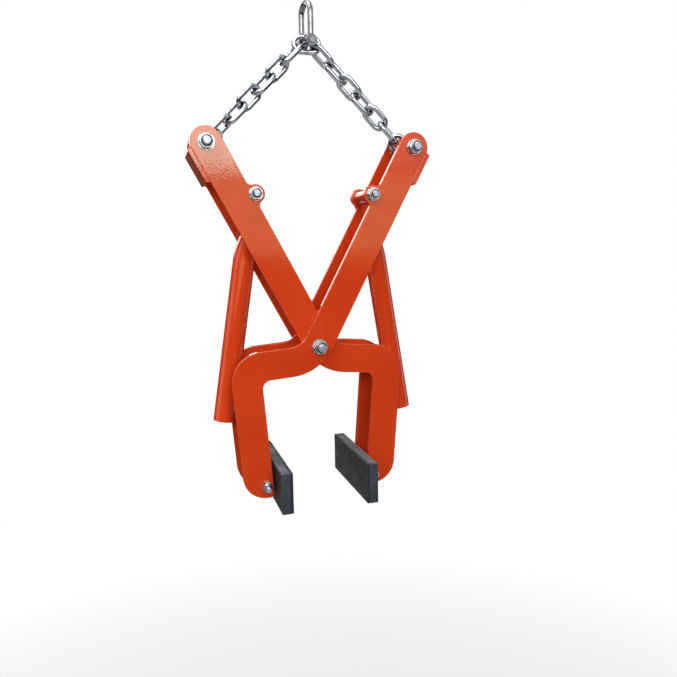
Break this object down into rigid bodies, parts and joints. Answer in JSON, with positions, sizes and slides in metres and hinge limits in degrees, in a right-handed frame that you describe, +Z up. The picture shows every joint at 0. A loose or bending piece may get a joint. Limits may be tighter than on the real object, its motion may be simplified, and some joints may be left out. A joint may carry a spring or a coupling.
{
  "type": "lifting tongs",
  "caption": "Chain-hung scissor lifting tongs with crossed double-plate levers, fold-down tube handles and tilting rubber grip pads, for lifting kerbs and stone blocks by crane or by hand.",
  "frame": {"origin": "inside top of the shackle bow, where the crane hook bears", "axes": "+Z up along the hang line, +X towards the right-hand arm as in the picture, +Y away from the viewer along the bolts"},
  "size_m": [0.3712, 0.18, 0.7664],
  "materials": {
    "orange_coat": "glossy orange-red powder coat",
    "zinc": "bright zinc plating",
    "black_coat": "satin black paint",
    "grey_rubber": "matt grey rubber",
    "black_rubber": "matt black rubber",
    "shim_plastic": "dark bearing plastic"
  },
  "bodies": {
    "chain_centre": {"chain_centre_link": "zinc"},
    "left_lever": {"left_ear_bolt": "zinc", "left_ear_locknut": "zinc", "left_lever_front_plate": "orange_coat", "left_lever_rear_plate": "orange_coat", "left_lever_shoulder_tie": "orange_coat", "left_lever_top_tie": "orange_coat", "left_lever_washers": "zinc", "left_top_bolt": "zinc", "left_top_locknut": "zinc", "left_top_sleeves": "zinc", "right_pad_bolt": "zinc", "right_pad_locknut": "zinc"},
    "left_handle": {"left_handle_neck": "orange_coat", "left_handle_sleeve": "orange_coat", "left_handle_tube": "orange_coat"},
    "left_chain": {"left_link_1": "zinc", "left_link_2": "zinc", "left_link_3": "zinc", "left_link_4": "zinc", "left_link_5": "zinc", "left_link_6": "zinc"},
    "left_end_link": {"left_link_7": "zinc"},
    "left_pad": {"left_pad_block": "grey_rubber", "left_pad_bracket": "black_coat", "left_pad_facing": "black_rubber", "left_pad_sleeve": "black_coat"},
    "right_lever": {"left_pad_bolt": "zinc", "left_pad_locknut": "zinc", "pivot_bolt": "zinc", "pivot_locknut": "zinc", "pivot_shims": "shim_plastic", "pivot_sleeve": "zinc", "pivot_washers": "zinc", "right_ear_bolt": "zinc", "right_ear_locknut": "zinc", "right_lever_front_plate": "orange_coat", "right_lever_rear_plate": "orange_coat", "right_lever_shoulder_tie": "orange_coat", "right_lever_top_tie": "orange_coat", "right_lever_washers": "zinc", "right_top_bolt": "zinc", "right_top_locknut": "zinc", "right_top_sleeves": "zinc"},
    "right_handle": {"right_handle_neck": "orange_coat", "right_handle_sleeve": "orange_coat", "right_handle_tube": "orange_coat"},
    "right_chain": {"right_link_1": "zinc", "right_link_2": "zinc", "right_link_3": "zinc", "right_link_4": "zinc", "right_link_5": "zinc", "right_link_6": "zinc", "right_link_7": "zinc"},
    "right_pad": {"right_pad_block": "grey_rubber", "right_pad_bracket": "black_coat", "right_pad_facing": "black_rubber", "right_pad_sleeve": "black_coat"},
    "shackle": {"shackle_bow": "zinc", "shackle_pin": "zinc"}
  },
  "joints": [
    {"name": "shackle_swing", "type": "hinge", "parent": "shackle", "child": "chain_centre", "pos_m": [0, 0, -0.0525], "axis": [-0.2079, 0.9781, 0], "range_deg": [-20, 20]},
    {"name": "right_chain_swing", "type": "hinge", "parent": "chain_centre", "child": "right_chain", "pos_m": [0.00865, 0, -0.0547], "axis": [0, -1, 0], "range_deg": [-8.74, 12.86]},
    {"name": "right_lever_hang", "type": "hinge", "parent": "right_chain", "child": "right_lever", "pos_m": [0.15944, 0, -0.20753], "axis": [0, 1, 0], "range_deg": [-12.74, 18.86]},
    {"name": "tongs_open", "type": "hinge", "parent": "right_lever", "child": "left_lever", "pos_m": [0, 0, -0.51315], "axis": [0, -1, 0], "range_deg": [-8, 12]},
    {"name": "left_chain_swing", "type": "hinge", "parent": "chain_centre", "child": "left_chain", "pos_m": [-0.00865, 0, -0.0547], "axis": [0, 1, 0], "range_deg": [-8.74, 12.86]},
    {"name": "left_end_link_turn", "type": "hinge", "parent": "left_lever", "child": "left_end_link", "pos_m": [-0.15944, 0, -0.20753], "axis": [0, 1, 0], "range_deg": [-12.74, 18.86]},
    {"name": "right_handle_fold", "type": "hinge", "parent": "right_lever", "child": "right_handle", "pos_m": [0.09039, 0, -0.28011], "axis": [0, -1, 0], "range_deg": [0, 78]},
    {"name": "left_handle_fold", "type": "hinge", "parent": "left_lever", "child": "left_handle", "pos_m": [-0.09039, 0, -0.28011], "axis": [0, 1, 0], "range_deg": [0, 78]},
    {"name": "left_pad_tilt", "type": "hinge", "parent": "right_lever", "child": "left_pad", "pos_m": [-0.08899, 0, -0.72791], "axis": [0, 1, 0], "range_deg": [-7, 3.5]},
    {"name": "right_pad_tilt", "type": "hinge", "parent": "left_lever", "child": "right_pad", "pos_m": [0.08899, 0, -0.72791], "axis": [0, -1, 0], "range_deg": [-7, 3.5]}
  ],
  "couplings": [
    {"joint": "right_chain_swing", "follows": "tongs_open", "ratio": 1.03},
    {"joint": "right_lever_hang", "follows": "tongs_open", "ratio": 1.53},
    {"joint": "left_chain_swing", "follows": "tongs_open", "ratio": 1.03},
    {"joint": "left_end_link_turn", "follows": "tongs_open", "ratio": 1.53}
  ]
}
